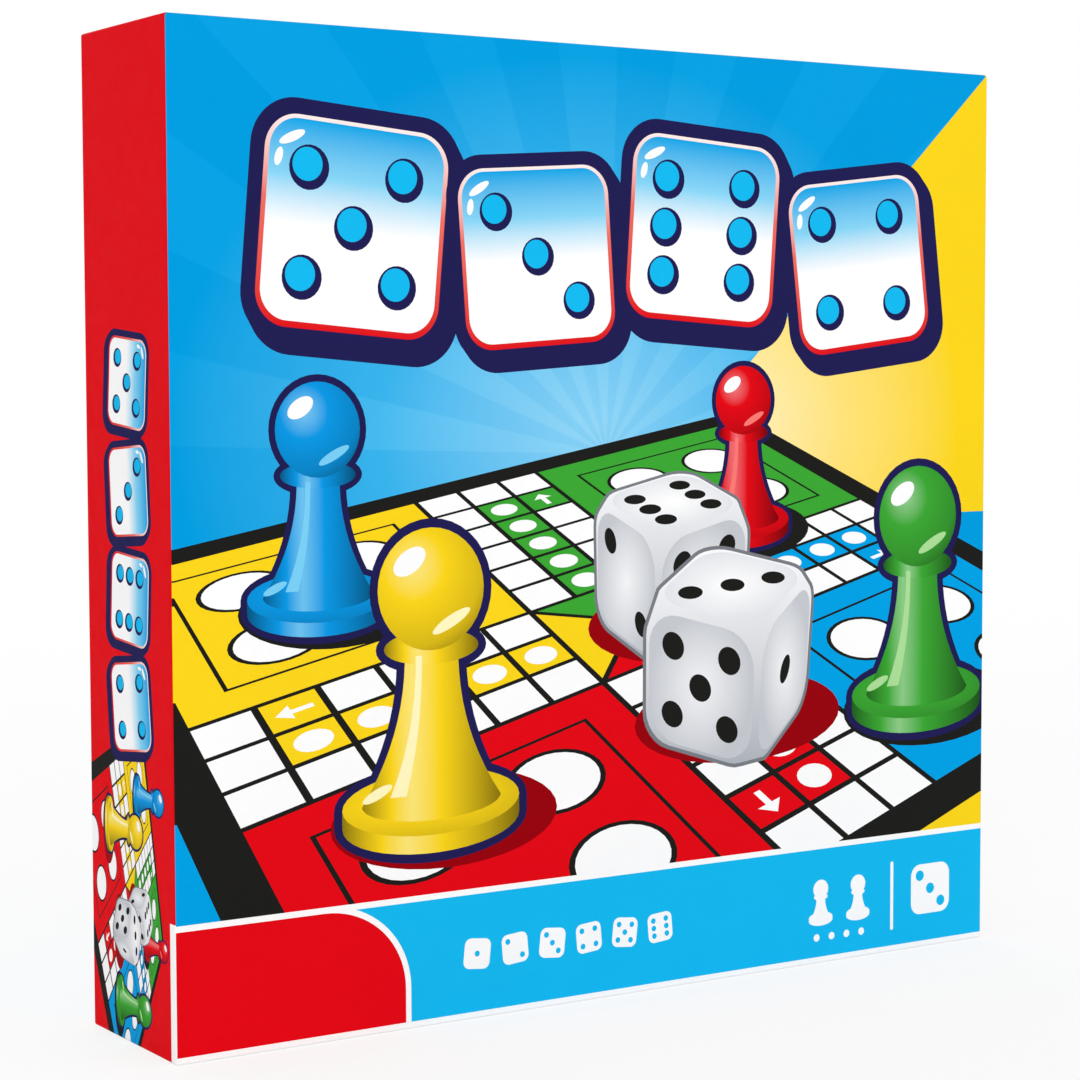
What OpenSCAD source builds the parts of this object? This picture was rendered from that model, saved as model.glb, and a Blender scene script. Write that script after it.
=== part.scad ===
// Folding ludo board box: a two-piece rigid cardboard box, stood on edge,
// with a full-depth lift-off lid. Inside it are a quarter-fold game board,
// a rules leaflet and a formed insert tray with stacked counters and dice.
// Millimetres, +Z up. The printed lid face looks along -Y. The origin is the
// centre of the rectangle that the box stands on.

/* [Box] */
// Width of the closed box
box_w = 268; // [264:1:320]
// Height of the closed box as it stands
box_h = 260; // [259:1:310]
// Depth of the closed box, front to back
box_d = 51; // [47:1:70]
// Thickness of the greyboard walls
board_t = 1.5; // [1:0.1:1.6]
// Thickness of the printed wrap paper with its glue
wrap_t = 0.25; // [0.15:0.05:0.3]
// Radius of the wrapped box corners
corner_r = 0.8; // [0.6:0.1:2]
// Gap between the lid walls and the base walls, each side
lid_gap = 0.5; // [0.3:0.1:1]
// Width of the wrap turned in over the rim
turn_in = 15; // [10:1:20]
// Leg length of the corner stay paper
stay_leg = 18; // [10:1:25]
// Thickness of the corner stay paper
stay_t = 0.15; // [0.1:0.05:0.2]

/* [Game board] */
// Side of one board panel
panel = 249; // [200:1:249]
// Thickness of the panel greyboard
panel_t = 1.8; // [1.2:0.1:2.2]
// Thickness of the printed sheet and of the backing paper
sheet_t = 0.2; // [0.15:0.05:0.25]
// Width of the backing turned over onto the printed side
edge_turn = 5; // [3:1:10]
// Gap between folded panels
panel_gap = 0.1; // [0.05:0.05:0.3]

/* [Insert tray] */
// Sheet thickness of the formed tray
tray_t = 0.8; // [0.5:0.1:1]
// Gap from the tray to the base walls, each side
tray_gap = 0.5; // [0.3:0.1:1]
// Across from the box centre to a counter pocket
pocket_x = 72; // [60:1:74]
// Up or down from the box centre to a counter pocket
pocket_y = 64; // [55:1:75]
// Radius of a counter pocket
pocket_r = 12; // [11.6:0.1:13]
// Depth of a counter pocket
pocket_depth = 22.4; // [21:0.1:26]
// Chamfer round each pocket mouth
mouth_c = 1.5; // [1:0.1:2]
// Radius of the finger scoops beside a pocket
scoop_r = 9; // [7:0.5:10]
// Across from the box centre to a die pocket
die_x = 20; // [15:1:26]
// Side of a die pocket
die_pocket = 17.2; // [17:0.1:18]
// Width of the stiffening valleys
valley_w = 18; // [12:1:18]
// Width of the trimmed flange round the tray's foot
flange_w = 2; // [1:0.5:3]
// Lean of the skirts and of the valley walls over their height
draft = 1; // [0.5:0.25:1.25]
// Chamfer along the tray's top edge
edge_c = 1.5; // [0.5:0.1:1.8]

/* [Counters and dice] */
// Counter radius
counter_r = 11; // [9:0.5:11.5]
// Counter thickness
counter_h = 5; // [4:0.25:5]
// Edge rounding of a counter
counter_f = 0.8; // [0.4:0.1:1.2]
// Die size
die_s = 16; // [12:0.5:16]
// Pip sphere radius
pip_r = 1.6; // [1.2:0.1:1.8]

/* [Leaflet] */
// Width of the folded leaflet
leaflet_w = 148; // [105:1:180]
// Height of the folded leaflet
leaflet_h = 210; // [148:1:240]
// Thickness of one leaf
leaf_t = 0.25; // [0.15:0.05:0.3]

/* [Hidden] */
$fn = 96;

// Colours of the print and of the plain materials
col_red = [0.89, 0.04, 0.09];
col_blue = [0.0, 0.63, 0.89];
col_yellow = [0.98, 0.83, 0.11];
col_green = [0.24, 0.67, 0.21];
col_grey = [0.66, 0.63, 0.58];

// Play between the pieces
rim_play = 0.5;    // base rim to the inside of the lid face
board_play = 0.7;  // folded board to the inside of the lid face
rest_gap = 0.3;    // board, leaflet and counters to the walls that they rest on
sheet_play = 0.15; // leaflet to the board
floor_play = 0.1;  // leaflet, counters and dice to the tray under them

// Wall build-up and the sizes that follow from it
wall = board_t + 2 * wrap_t;
base_w = box_w - 2 * (wall + lid_gap);
base_h = box_h - 2 * (wall + lid_gap);
lid_inner_z = box_d - wrap_t - board_t;
base_rim = lid_inner_z - rim_play;
base_floor = wrap_t + board_t;
inner_w = base_w - 2 * wall;
inner_h = base_h - 2 * wall;
eps = 1;

// Heights in the stack, measured from the back of the closed box
panel_full = panel_t + 2 * sheet_t;
board_top = lid_inner_z - board_play;
board_z = [for (i = [0:3]) board_top - (4 - i) * panel_full - (3 - i) * panel_gap];
panel_y = -inner_h / 2 + rest_gap + panel / 2;
leaflet_gap = 0.3;
leaflet_z = board_z[0] - sheet_play - 2 * leaf_t - leaflet_gap;
tray_top = leaflet_z - floor_play;

// Layout of the tray
tray_w = inner_w - 2 * tray_gap;
tray_h = inner_h - 2 * tray_gap;
skirt_r = 4;           // corner radius of the skirts
pocket_floor = tray_top - pocket_depth;
scoop_depth = 14;      // finger scoops beside a counter pocket
scoop_off = 15;        // from the pocket's centre to a scoop's centre
die_depth = 17.2;
die_floor = tray_top - die_depth;
die_pocket_r = 1;      // corner radius of a die pocket
dice_scoop_r = 12;     // finger scoop between the dice
dice_scoop_depth = 11;
valley_in = 9;         // from the tray's edge to a valley
valley_r = 5;          // corner radius of a valley
side_valley = tray_h - 64;
end_valley = tray_w - 90;
bend_k = tan(22.5);    // shift of a 45 degree bend per unit of sheet thickness

// Details of the counters and dice
stack_step = counter_h + 0.05; // from one stacked counter to the next
dish_r = 8.2;          // radius of the dished faces
dish_depth = 0.8;
ring_r = 4.4;          // inner radius of the raised ring
ring_w = 1.4;
ring_h = 0.5;          // above the dished face
die_ball = 0.7;        // radius of the corner-cutting ball, per die side
pip_pitch = 0.25;      // from the face's centre to a pip, per die side
pip_lift = 0.6;        // centre of a pip ball above the face

// Stands the lying box up: its back goes to +Y and its lid face to -Y
module stand() {
  translate([0, box_d / 2, box_h / 2]) rotate([90, 0, 0]) children();
}

// The lid is the same build as the base, turned mouth down
module flip_lid() {
  translate([0, 0, box_d]) mirror([0, 0, 1]) children();
}

// Rectangle with round corners, centred
module rounded(w, h, r) {
  if (r <= 0) square([w, h], center = true);
  else union() {
    square([w - 2 * r, h], center = true);
    square([w, h - 2 * r], center = true);
    for (x = [-1, 1], y = [-1, 1])
      translate([x * (w / 2 - r), y * (h / 2 - r)]) circle(r);
  }
}

// Upright block of a rounded rectangle between two heights
module block(w, h, r, z0, z1) {
  translate([0, 0, z0]) linear_extrude(z1 - z0) rounded(w, h, r);
}

// Four corner squares that the stay paper covers
module corner_zone(w, h, z0, z1) {
  for (x = [-1, 1], y = [-1, 1])
    translate([x * (w / 2 - stay_leg / 2 + eps / 2), y * (h / 2 - stay_leg / 2 + eps / 2),
               (z0 + z1) / 2])
      cube([stay_leg + eps, stay_leg + eps, z1 - z0], center = true);
}

// Corner stay paper of a box half, w by h over its wrap
module stays(w, h, depth) {
  gw = w - 2 * wrap_t;
  gh = h - 2 * wrap_t;
  gr = corner_r - wrap_t;
  intersection() {
    difference() {
      block(gw, gh, gr, wrap_t, depth - wrap_t);
      block(gw - 2 * stay_t, gh - 2 * stay_t, gr - stay_t, 0, depth);
    }
    corner_zone(gw, gh, wrap_t, depth - wrap_t);
  }
}

// Folded greyboard shell of a box half, with the corners pressed in by the stays
module greyboard(w, h, depth) {
  gw = w - 2 * wrap_t;
  gh = h - 2 * wrap_t;
  gr = corner_r - wrap_t;
  difference() {
    block(gw, gh, gr, wrap_t, depth - wrap_t);
    block(gw - 2 * board_t, gh - 2 * board_t, 0, wrap_t + board_t, depth + eps);
    intersection() {
      difference() {
        block(gw + eps, gh + eps, 0, wrap_t - eps, depth + eps);
        block(gw - 2 * stay_t, gh - 2 * stay_t, gr - stay_t, 0, depth + eps);
      }
      corner_zone(gw, gh, wrap_t - eps, depth + eps);
    }
  }
}

// Wrap paper of a box half: outside faces, over the rim and turned in
module wrap(w, h, depth) {
  gw = w - 2 * wrap_t;
  gh = h - 2 * wrap_t;
  difference() {
    block(w, h, corner_r, 0, depth);
    block(gw, gh, corner_r - wrap_t, wrap_t, depth - wrap_t);
    block(gw - 2 * board_t - 2 * wrap_t, gh - 2 * board_t - 2 * wrap_t, 0,
          depth - 2 * wrap_t, depth + eps);
  }
  difference() {
    block(gw - 2 * board_t, gh - 2 * board_t, 0, depth - turn_in, depth);
    block(gw - 2 * board_t - 2 * wrap_t, gh - 2 * board_t - 2 * wrap_t, 0,
          depth - turn_in - eps, depth + eps);
  }
}

// Bar along Y with a trapezoid section, whose sides lean out by lean from z0 to z1
module bar(w, length, z0, z1, lean) {
  rotate([90, 0, 0]) linear_extrude(length, center = true)
    polygon([[-w / 2, z0], [w / 2, z0], [w / 2 + lean, z1], [-w / 2 - lean, z1]]);
}

// Rounded rectangle w by h at z0 that grows by lean on every side up to z1
module leaning_block(w, h, r, z0, z1, lean) {
  bar(w, h - 2 * r, z0, z1, lean);
  rotate(90) bar(h, w - 2 * r, z0, z1, lean);
  for (x = [-1, 1], y = [-1, 1]) translate([x * (w / 2 - r), y * (h / 2 - r), z0])
    cylinder(h = z1 - z0, r1 = r, r2 = r + lean);
}

// In the hollows below, grow is the sheet thickness on their underside and 0 on top.
// Height over which a chamfered mouth opens at 45 degrees, past the tray's top
function mouth_h(grow) = mouth_c + bend_k * grow + eps;

// Round hollow with a chamfered mouth
module round_hollow(r, depth, grow) {
  translate([0, 0, tray_top - depth - grow]) cylinder(h = depth + grow + eps, r = r + grow);
  translate([0, 0, tray_top + eps - mouth_h(grow)])
    cylinder(h = mouth_h(grow), r1 = r + grow, r2 = r + grow + mouth_h(grow));
}

// Rectangular hollow with a chamfered mouth and walls that lean out by lean
module long_hollow(w, h, r, z0, lean, grow) {
  leaning_block(w + 2 * (grow - lean), h + 2 * (grow - lean), r + grow - lean,
                z0 - grow, tray_top + eps, lean);
  leaning_block(w + 2 * grow, h + 2 * grow, r + grow,
                tray_top + eps - mouth_h(grow), tray_top + eps, mouth_h(grow));
}

// Pocket for a stack of counters, with a finger scoop on either side
module counter_pocket(grow) {
  round_hollow(pocket_r, pocket_depth, grow);
  for (x = [-1, 1]) translate([x * scoop_off, 0, 0]) round_hollow(scoop_r, scoop_depth, grow);
}

// Two square die pockets joined by a finger scoop
module die_pockets(grow) {
  for (x = [-1, 1]) translate([x * die_x, 0, 0])
    long_hollow(die_pocket, die_pocket, die_pocket_r, die_floor, 0, grow);
  round_hollow(dice_scoop_r, dice_scoop_depth, grow);
}

// Stiffening valleys down to the base floor along the four sides
module valleys(grow) {
  for (x = [-1, 1]) translate([x * (tray_w / 2 - valley_in - valley_w / 2), 0, 0])
    long_hollow(valley_w, side_valley, valley_r, base_floor + tray_t, draft, grow);
  for (y = [-1, 1]) translate([0, y * (tray_h / 2 - valley_in - valley_w / 2), 0])
    long_hollow(end_valley, valley_w, valley_r, base_floor + tray_t, draft, grow);
}

// All hollows pressed into the tray
module tray_hollows(grow) {
  for (x = [-1, 1], y = [-1, 1])
    translate([x * pocket_x, y * pocket_y, 0]) counter_pocket(grow);
  die_pockets(grow);
  valleys(grow);
}

// Body inside the leaning skirts and the chamfered top edge; shrink is the sheet thickness
// on its underside and 0 on top
module skirt_body(z0, shrink) {
  w = tray_w - 2 * (flange_w + shrink);
  h = tray_h - 2 * (flange_w + shrink);
  r = skirt_r - shrink;
  top = tray_top - shrink;
  c = edge_c - (1 - bend_k) * shrink;
  leaning_block(w, h, r, z0, top - c, -draft);
  leaning_block(w - 2 * draft, h - 2 * draft, r - draft, top - c, top, -c);
}

// One panel, printed side up: the greyboard core
module panel_core() {
  translate([-panel / 2 + sheet_t, -panel / 2 + sheet_t, sheet_t])
    cube([panel - sheet_t, panel - sheet_t, panel_t]);
}

// One panel, printed side up: the printed sheet inside the turned edges
module panel_print() {
  translate([-panel / 2 + edge_turn, -panel / 2 + edge_turn, sheet_t + panel_t])
    cube([panel - edge_turn, panel - edge_turn, sheet_t]);
}

// One panel, printed side up: backing paper, turned over the two outer edges
module panel_backing() {
  difference() {
    translate([-panel / 2, -panel / 2, 0]) cube([panel, panel, panel_full]);
    translate([-panel / 2 + sheet_t, -panel / 2 + sheet_t, sheet_t])
      cube([panel + eps, panel + eps, panel_t]);
    translate([-panel / 2 + edge_turn, -panel / 2 + edge_turn, sheet_t + panel_t - eps / 2])
      cube([panel + eps, panel + eps, sheet_t + eps]);
  }
}

// Puts panel i into the folded stack: 0 and 2 print to the lid, 1 and 3 print to the tray
module in_stack(i) {
  stand() translate([0, panel_y, board_z[i]])
    if (i == 0 || i == 2) children();
    else translate([0, 0, panel_full]) mirror([0, 0, 1]) children();
}

// Flat stacking counter with a rim, a dished face and a raised ring
module counter() {
  rotate_extrude() difference() {
    union() {
      square([counter_r - counter_f, counter_h]);
      translate([0, counter_f]) square([counter_r, counter_h - 2 * counter_f]);
      for (z = [counter_f, counter_h - counter_f])
        translate([counter_r - counter_f, z]) circle(counter_f);
    }
    translate([0, counter_h - dish_depth]) square([dish_r, eps]);
    translate([0, dish_depth - eps]) square([dish_r, eps]);
  }
  rotate_extrude() translate([ring_r, counter_h / 2])
    square([ring_w, counter_h / 2 - dish_depth + ring_h]);
}

// Counter number i of the stack in the pocket on side sx, sy
module stacked_counter(sx, sy, i) {
  stand() translate([sx * pocket_x, sy * pocket_y - (pocket_r - counter_r - rest_gap),
                     pocket_floor + floor_play + i * stack_step]) counter();
}

// Layouts of the pips, as fractions of the pip pitch
pips = [
  [[0, 0]],
  [[-1, -1], [1, 1]],
  [[-1, -1], [0, 0], [1, 1]],
  [[-1, -1], [1, 1], [-1, 1], [1, -1]],
  [[-1, -1], [1, 1], [-1, 1], [1, -1], [0, 0]],
  [[-1, -1], [1, 1], [-1, 1], [1, -1], [-1, 0], [1, 0]]
];
// Turn that brings each face to the top, opposite faces adding up to seven
turns = [[0, 0, 0], [90, 0, 0], [0, 90, 0], [0, -90, 0], [-90, 0, 0], [180, 0, 0]];

// Die with ball-cut corners and dimpled pips
module die() {
  difference() {
    intersection() {
      cube(die_s, center = true);
      sphere(die_ball * die_s);
    }
    for (f = [0:5]) rotate(turns[f]) for (p = pips[f])
      translate([p[0] * pip_pitch * die_s, p[1] * pip_pitch * die_s, die_s / 2 + pip_lift]) sphere(pip_r);
  }
}

// Die in its pocket on side sx, turned to show another face, with its lower side on the pocket wall
module stored_die(sx, turn) {
  stand() translate([sx * die_x, -(die_pocket - die_s) / 2 + 2 * floor_play,
                     die_floor + die_s / 2 + floor_play]) rotate(turn) die();
}

module lid_greyboard() { color(col_grey) stand() flip_lid() greyboard(box_w, box_h, box_d); }
module lid_corner_stays() { color([0.72, 0.55, 0.36]) stand() flip_lid() stays(box_w, box_h, box_d); }
module lid_wrap() { color(col_red) stand() flip_lid() wrap(box_w, box_h, box_d); }
module base_greyboard() { color(col_grey) stand() greyboard(base_w, base_h, base_rim); }
module base_corner_stays() { color([0.72, 0.55, 0.36]) stand() stays(base_w, base_h, base_rim); }
module base_wrap() { color(col_blue) stand() wrap(base_w, base_h, base_rim); }

// Formed insert: a deep sheet with skirts on a flange, pockets, scoops and valleys
module insert_tray() {
  color("white") stand() difference() {
    union() {
      block(tray_w, tray_h, skirt_r, base_floor, base_floor + tray_t);
      skirt_body(base_floor, 0);
    }
    tray_hollows(0);
    difference() {
      skirt_body(base_floor - eps, tray_t);
      tray_hollows(tray_t);
    }
  }
}

// Leaflet folded once, with a round spine on its left edge
module rules_leaflet() {
  r = leaf_t + leaflet_gap / 2;
  color("ivory") stand()
    translate([0, -inner_h / 2 + rest_gap + leaflet_h / 2, leaflet_z]) {
      for (z = [0, leaf_t + leaflet_gap])
        translate([-leaflet_w / 2 + r, -leaflet_h / 2, z])
          cube([leaflet_w - r, leaflet_h, leaf_t]);
      translate([-leaflet_w / 2 + r, leaflet_h / 2, r]) rotate([90, 0, 0])
        difference() {
          cylinder(h = leaflet_h, r = r);
          translate([0, 0, -eps]) cylinder(h = leaflet_h + 2 * eps, r = leaflet_gap / 2);
          translate([0, -r - eps, -eps]) cube([r + eps, 2 * (r + eps), leaflet_h + 2 * eps]);
        }
    }
}

module board_panel(i) { color(col_grey) in_stack(i) panel_core(); }
module board_print(i) { color([col_red, col_green, col_blue, col_yellow][i]) in_stack(i) panel_print(); }
module board_backing(i) { color([0.1, 0.1, 0.1]) in_stack(i) panel_backing(); }

lid_greyboard();
lid_corner_stays();
lid_wrap();
base_greyboard();
base_corner_stays();
base_wrap();
insert_tray();
rules_leaflet();
board_panel(0);  // board_panel_1
board_panel(1);  // board_panel_2
board_panel(2);  // board_panel_3
board_panel(3);  // board_panel_4
board_print(0);  // board_print_1
board_print(1);  // board_print_2
board_print(2);  // board_print_3
board_print(3);  // board_print_4
board_backing(0);  // board_backing_1
board_backing(1);  // board_backing_2
board_backing(2);  // board_backing_3
board_backing(3);  // board_backing_4
color(col_red) stacked_counter(1, -1, 0);  // red_counter_1
color(col_red) stacked_counter(1, -1, 1);  // red_counter_2
color(col_red) stacked_counter(1, -1, 2);  // red_counter_3
color(col_red) stacked_counter(1, -1, 3);  // red_counter_4
color(col_yellow) stacked_counter(-1, 1, 0);  // yellow_counter_1
color(col_yellow) stacked_counter(-1, 1, 1);  // yellow_counter_2
color(col_yellow) stacked_counter(-1, 1, 2);  // yellow_counter_3
color(col_yellow) stacked_counter(-1, 1, 3);  // yellow_counter_4
color(col_green) stacked_counter(-1, -1, 0);  // green_counter_1
color(col_green) stacked_counter(-1, -1, 1);  // green_counter_2
color(col_green) stacked_counter(-1, -1, 2);  // green_counter_3
color(col_green) stacked_counter(-1, -1, 3);  // green_counter_4
color(col_blue) stacked_counter(1, 1, 0);  // blue_counter_1
color(col_blue) stacked_counter(1, 1, 1);  // blue_counter_2
color(col_blue) stacked_counter(1, 1, 2);  // blue_counter_3
color(col_blue) stacked_counter(1, 1, 3);  // blue_counter_4
color("white") stored_die(-1, [0, 0, 0]);  // die_1
color("white") stored_die(1, [90, 0, 90]);  // die_2
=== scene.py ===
"""Looks for the folding ludo board box: prints, plastics and papers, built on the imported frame."""
import math

import bmesh
import bpy
import numpy as np
from mathutils import Matrix, Vector
from mathutils.geometry import convex_hull_2d, delaunay_2d_cdt


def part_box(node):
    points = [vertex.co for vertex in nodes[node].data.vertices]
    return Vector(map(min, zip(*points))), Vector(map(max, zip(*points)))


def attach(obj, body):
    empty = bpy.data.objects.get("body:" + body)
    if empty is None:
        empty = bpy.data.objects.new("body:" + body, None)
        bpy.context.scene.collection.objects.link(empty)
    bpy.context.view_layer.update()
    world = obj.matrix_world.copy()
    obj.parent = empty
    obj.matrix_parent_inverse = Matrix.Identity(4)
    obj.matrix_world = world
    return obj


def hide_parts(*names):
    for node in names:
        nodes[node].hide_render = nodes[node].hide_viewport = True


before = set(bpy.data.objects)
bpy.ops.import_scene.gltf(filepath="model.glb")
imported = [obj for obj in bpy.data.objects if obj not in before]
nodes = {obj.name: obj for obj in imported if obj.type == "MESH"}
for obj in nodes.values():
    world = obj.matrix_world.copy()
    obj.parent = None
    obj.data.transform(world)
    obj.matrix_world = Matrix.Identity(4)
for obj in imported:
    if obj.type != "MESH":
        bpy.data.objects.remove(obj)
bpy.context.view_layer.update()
MM = 0.001


def box_mm(node):
    """Lowest and highest corner of a node at rest, in millimetres."""
    return [corner * 1000 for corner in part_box(node)]


def size_of(node):
    """A node's width, depth and height in millimetres."""
    lo, hi = box_mm(node)
    return [round(v, 2) for v in hi - lo]


BOX_W, BOX_D, BOX_H = size_of("lid_wrap")
BASE_W, BASE_D, BASE_H = size_of("base_wrap")

# ---------------------------------------------------------------- camera
# Fitted to the six corners of the box that the photograph shows: round, down and roll, in degrees
AZ, PITCH, ROLL = (math.radians(v) for v in (33.059, 3.778, -0.166))
CAM_PLACE = (-0.41135, -0.61810, 0.17402)
CAM_LENS, CAM_SENSOR = 88.03, 36
look = Vector((math.sin(AZ) * math.cos(PITCH), math.cos(AZ) * math.cos(PITCH), -math.sin(PITCH)))
right = look.cross(Vector((0, 0, 1))).normalized()
up = right.cross(look)
right, up = (right * math.cos(ROLL) + up * math.sin(ROLL), up * math.cos(ROLL) - right * math.sin(ROLL))
cam = bpy.data.objects.new("camera", bpy.data.cameras.new("camera"))
bpy.context.scene.collection.objects.link(cam)
cam.matrix_world = Matrix((right, up, -look)).transposed().to_4x4()
cam.location = CAM_PLACE
cam.data.sensor_width = CAM_SENSOR
cam.data.lens = CAM_LENS
bpy.context.scene.camera = cam


# ---------------------------------------------------------------- materials
def lin(rgb):
    """8-bit sRGB to a linear colour with alpha; 3294.6 is 255 times 12.92."""
    return tuple(c / 3294.6 if c < 10.4 else ((c / 255 + 0.055) / 1.055) ** 2.4 for c in rgb) + (1.0,)


class Shader:
    """A node material on one Principled shader, with short calls for its maps."""

    def __init__(self, name, spec=0.5):
        self.mat = bpy.data.materials.new(name)
        self.mat.use_nodes = True
        self.tree = self.mat.node_tree
        self.out = self.tree.nodes["Principled BSDF"]
        self.out.inputs["Specular IOR Level"].default_value = spec
        self.here = self.new("TexCoord").outputs["Object"]

    def new(self, kind, **values):
        node = self.tree.nodes.new("ShaderNode" + kind)
        for key, value in values.items():
            setattr(node, key, value)
        return node

    def link(self, a, b):
        self.tree.links.new(a, b)

    def noise(self, scale, detail=2.0, stretch=None, distortion=0.0):
        node = self.new("TexNoise")
        node.inputs["Scale"].default_value = scale
        node.inputs["Detail"].default_value = detail
        node.inputs["Distortion"].default_value = distortion
        where = self.here
        if stretch:
            mapping = self.new("Mapping")
            mapping.inputs["Scale"].default_value = stretch
            self.link(self.here, mapping.inputs["Vector"])
            where = mapping.outputs["Vector"]
        self.link(where, node.inputs["Vector"])
        return node.outputs["Fac"]

    def spread(self, value, lo, hi, a=0.3, b=0.7):
        node = self.new("MapRange")
        for i, v in ((1, a), (2, b), (3, lo), (4, hi)):
            node.inputs[i].default_value = v
        self.link(value, node.inputs[0])
        return node.outputs[0]

    def math(self, operation, a, b=0.0):
        node = self.new("Math", operation=operation)
        for i, v in enumerate((a, b)):
            if isinstance(v, (int, float)):
                node.inputs[i].default_value = v
            else:
                self.link(v, node.inputs[i])
        return node.outputs[0]

    def mix(self, fac, a, b, blend="MIX"):
        node = self.new("Mix", data_type="RGBA", blend_type=blend)
        for i, v in ((0, fac), (6, a), (7, b)):
            if isinstance(v, (int, float, tuple)):
                node.inputs[i].default_value = v
            else:
                self.link(v, node.inputs[i])
        return node.outputs[2]

    def ramp(self, fac, stops):
        node = self.new("ValToRGB")
        band = node.color_ramp.elements
        while len(band) < len(stops):
            band.new(0.5)
        for e, (at, rgb) in zip(band, stops):
            e.position, e.color = at, lin(rgb)
        self.link(fac, node.inputs[0])
        return node.outputs[0]

    def bump(self, height, strength, distance):
        node = self.new("Bump")
        node.inputs["Strength"].default_value = strength
        node.inputs["Distance"].default_value = distance
        self.link(height, node.inputs["Height"])
        self.link(node.outputs[0], self.out.inputs["Normal"])

    def paint(self, colour, shades=0.03, scale=35):
        """Base colour with slow brightness changes."""
        level = self.spread(self.noise(scale, 3), 1 - shades, 1)
        self.link(self.mix(1.0, colour, level, "MULTIPLY"), self.out.inputs["Base Color"])

    def rough(self, lo, hi, scale=400):
        self.link(self.spread(self.noise(scale, 3), lo, hi), self.out.inputs["Roughness"])


RED, BLUE, CYAN = (226, 9, 22), (0, 160, 227), (20, 184, 238)
YELLOW, GREEN, NAVY = (249, 212, 28), (60, 165, 52), (33, 30, 82)
BLACK, WHITE = (30, 30, 28), (252, 252, 252)


def tone(rgb, k):
    """Darker below 1, nearer to white above 1."""
    return tuple(c * k if k <= 1 else 255 - (255 - c) * (2 - k) for c in rgb)


FLAT = {
    "red": RED, "blue": BLUE, "cyan": CYAN, "yellow": YELLOW, "green": GREEN, "navy": NAVY,
    "black": BLACK, "white": WHITE, "red_dark": (150, 4, 14), "blue_light": (120, 205, 242),
    "red_light": (250, 120, 115), "yellow_light": (255, 246, 190), "green_light": (170, 220, 150),
    "backing_side": (246, 244, 238), "grey": (120, 124, 130),
}
# mode, stops: rad runs from the middle out, ver from the foot up, hor from left to right
GRADIENT = {
    "sky": ("rad", [(0, (134, 207, 243)), (0.4, (56, 177, 233)), (0.76, (0, 155, 221))]),
    "sky_ray": ("rad", [(0, (145, 212, 244)), (0.4, (70, 184, 236)), (0.76, (6, 159, 224))]),
    "sun": ("rad", [(0, (254, 238, 180)), (0.3, (253, 224, 118)), (0.66, YELLOW)]),
    "tile": ("ver", [(0, WHITE), (0.48, WHITE), (0.72, (135, 211, 243)), (1, (10, 163, 228))]),
    "rim": ("ver", [(0, (222, 20, 28)), (0.6, (238, 110, 96)), (1, (255, 236, 232))]),
    "die_top": ("rad", [(0, (255, 255, 255)), (1.3, (226, 228, 232))]),
    "die_side": ("rad", [(0, (242, 243, 245)), (1.3, (196, 199, 205))]),
    "die_edge": ("ver", [(0, (176, 180, 188)), (1, (250, 250, 252))]),
}
# place and tone of the stops on a pawn's ball and on its body
BALL = ((0, 1.45), (0.35, 1), (0.8, 0.86), (1, 0.6))
BODY = ((0, 0.55), (0.22, 1), (0.36, 1.4), (0.55, 1), (1, 0.5))
for hue, rgb in (("red", RED), ("yellow", YELLOW), ("green", GREEN), ("blue", (10, 150, 225))):
    GRADIENT[hue + "_ball"] = ("rad", [(at, tone(rgb, k)) for at, k in BALL])
    GRADIENT[hue + "_body"] = ("hor", [(at, tone(rgb, k)) for at, k in BODY])

INKS = {}


def ink(name):
    """Printed and laminated paper in one flat or graded ink."""
    if name in INKS:
        return INKS[name]
    s = Shader("ink_" + name, spec=0.012)
    if name in FLAT:
        colour = lin(FLAT[name])
    else:
        mode, stops = GRADIENT[name]
        at = s.new("UVMap", uv_map="motif")
        part = s.new("SeparateXYZ")
        s.link(at.outputs[0], part.inputs[0])
        u, v = part.outputs[0], part.outputs[1]
        if mode == "rad":
            fac = s.math("SQRT", s.math("ADD", s.math("MULTIPLY", u, u), s.math("MULTIPLY", v, v)))
        else:
            fac = s.math("ADD", s.math("MULTIPLY", u if mode == "hor" else v, 0.5), 0.5)
        colour = s.ramp(fac, stops)
    s.paint(colour, shades=0.025)
    s.rough(0.42, 0.56, scale=260)
    fibre = s.noise(2400, 3, stretch=(1, 1, 0.35))
    s.bump(s.math("ADD", fibre, s.math("MULTIPLY", s.noise(170, 2), 1.5)), 0.05, 0.0002)
    INKS[name] = s.mat
    return s.mat


def cardboard(name, rgb, flecks=0.25):
    """Uncoated board: cloudy, with short dark and pale fibres."""
    s = Shader(name, spec=0.15)
    fibres = s.noise(650, 4, stretch=(1, 0.6, 0.25), distortion=1.2)
    dark = s.spread(fibres, 0, flecks, 0.56, 0.66)
    pale = s.spread(s.noise(900, 3, stretch=(0.3, 0.7, 1), distortion=1.5), 0, flecks, 0.6, 0.7)
    colour = s.mix(pale, s.mix(dark, lin(rgb), lin(tone(rgb, 0.7))), lin(tone(rgb, 1.5)))
    s.paint(colour, 0.1, 60)
    s.rough(0.82, 0.95)
    s.bump(s.math("ADD", fibres, s.noise(2600, 2)), 0.22, 0.0003)
    return s.mat


def kraft(name, rgb):
    """Kraft paper with long fibres along its run."""
    s = Shader(name, spec=0.2)
    runs = s.noise(420, 4, stretch=(0.25, 0.25, 2.2), distortion=0.6)
    s.paint(s.mix(s.spread(runs, 0, 0.35), lin(rgb), lin(tone(rgb, 0.72))), 0.08, 80)
    s.rough(0.6, 0.75)
    s.bump(runs, 0.2, 0.0003)
    return s.mat


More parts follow.
